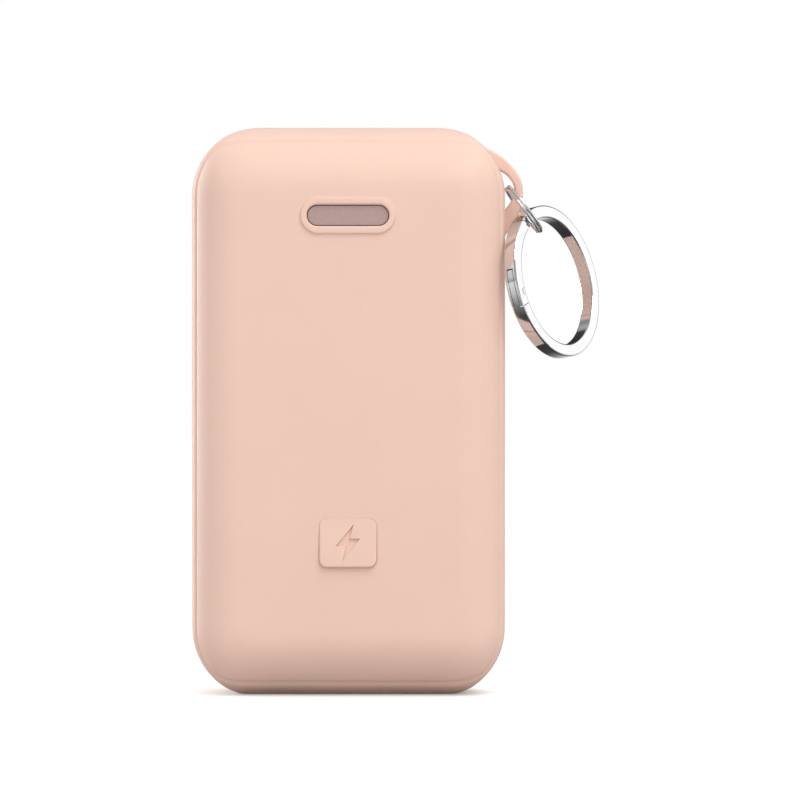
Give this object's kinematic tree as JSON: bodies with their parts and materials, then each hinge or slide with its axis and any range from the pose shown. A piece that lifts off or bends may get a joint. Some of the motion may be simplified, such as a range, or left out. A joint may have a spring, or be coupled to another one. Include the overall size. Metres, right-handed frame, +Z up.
{
  "type": "power bank",
  "caption": "Pocket power bank in a soft sleeve with a display window, a pressable key pad, two bottom sockets, and a lanyard eye carrying a split ring and a spring-gate ring.",
  "frame": {"origin": "centre of the flat base it stands on", "axes": "+Z up along the body, -Y towards the front face with the window, +X towards the side with the lanyard eye"},
  "size_m": [0.0686, 0.0279, 0.095],
  "materials": {
    "sleeve_silicone": "soft matt silicone",
    "case_plastic": "fine spark texture",
    "screw_steel": "zinc plated",
    "smoked_lens": "tinted, smooth",
    "black_tape": "foam tape",
    "display_housing": "moulded",
    "circuit_board": "solder mask",
    "flex_film": "polyimide film",
    "socket_plastic": "moulded",
    "key_plastic": "moulded",
    "switch_steel": "plated sheet",
    "switch_plastic": "moulded",
    "spring_steel": "bright",
    "socket_steel": "nickel plated sheet",
    "gold_contact": "gold plated",
    "ferrite": "pressed ferrite",
    "chip_epoxy": "moulded epoxy",
    "capacitor_ceramic": "fired ceramic",
    "cell_foil": "laminated foil",
    "foam": "closed-cell foam",
    "nickel_tab": "nickel strip",
    "red_insulation": "wire insulation",
    "black_insulation": "wire insulation",
    "thermistor_epoxy": "epoxy bead",
    "ring_chrome": "polished plating",
    "pin_steel": "riveted end"
  },
  "bodies": {
    "device": {"silicone_sleeve": "sleeve_silicone", "front_case": "case_plastic", "rear_case": "case_plastic", "case_screws": "screw_steel", "display_lens": "smoked_lens", "lens_adhesive": "black_tape", "display_module": "display_housing", "display_board": "circuit_board", "ribbon_cable": "flex_film", "ribbon_socket": "socket_plastic", "tact_switch_body": "switch_steel", "tact_switch_dome": "spring_steel", "main_board": "circuit_board", "usb_a_shell": "socket_steel", "usb_a_tongue": "socket_plastic", "usb_a_contacts": "gold_contact", "usb_c_shell": "socket_steel", "usb_c_tongue": "socket_plastic", "usb_c_contacts": "gold_contact", "power_inductor": "ferrite", "control_chips": "chip_epoxy", "ceramic_capacitors": "capacitor_ceramic", "battery_cell_front": "cell_foil", "battery_cell_rear": "cell_foil", "cell_tape": "black_tape", "cell_foam_pad": "foam", "protection_board": "circuit_board", "cell_tabs": "nickel_tab", "positive_lead": "red_insulation", "negative_lead": "black_insulation", "thermistor": "thermistor_epoxy"},
    "button": {"sleeve_button_pad": "sleeve_silicone", "power_key": "key_plastic", "tact_switch_plunger": "switch_plastic"},
    "split_ring": {"split_ring": "ring_chrome"},
    "gate_ring": {"gate_ring_body": "ring_chrome", "gate_pivot_pin": "pin_steel", "gate_spring": "spring_steel"},
    "gate": {"gate_ring_gate": "ring_chrome"}
  },
  "joints": [
    {"name": "button_press", "type": "slide", "parent": "device", "child": "button", "axis": [0, 1, 0], "range_m": [0, 0.0003], "deforming": ["tact_switch_dome"]},
    {"name": "split_ring_swing", "type": "hinge", "parent": "device", "child": "split_ring", "pos_m": [0.02664, -0.00136, 0.08485], "axis": [0, -1, 0], "range_deg": [-1.5, 90]},
    {"name": "gate_ring_swing", "type": "hinge", "parent": "split_ring", "child": "gate_ring", "pos_m": [0.0322, -0.00136, 0.07751], "axis": [0, -1, 0], "range_deg": [-1.5, 25]},
    {"name": "gate_open", "type": "hinge", "parent": "gate_ring", "child": "gate", "pos_m": [0.02822, -0.01007, 0.06707], "axis": [-0.8166, 0.5471, -0.1839], "range_deg": [0, 30], "deforming": ["gate_spring"]}
  ]
}
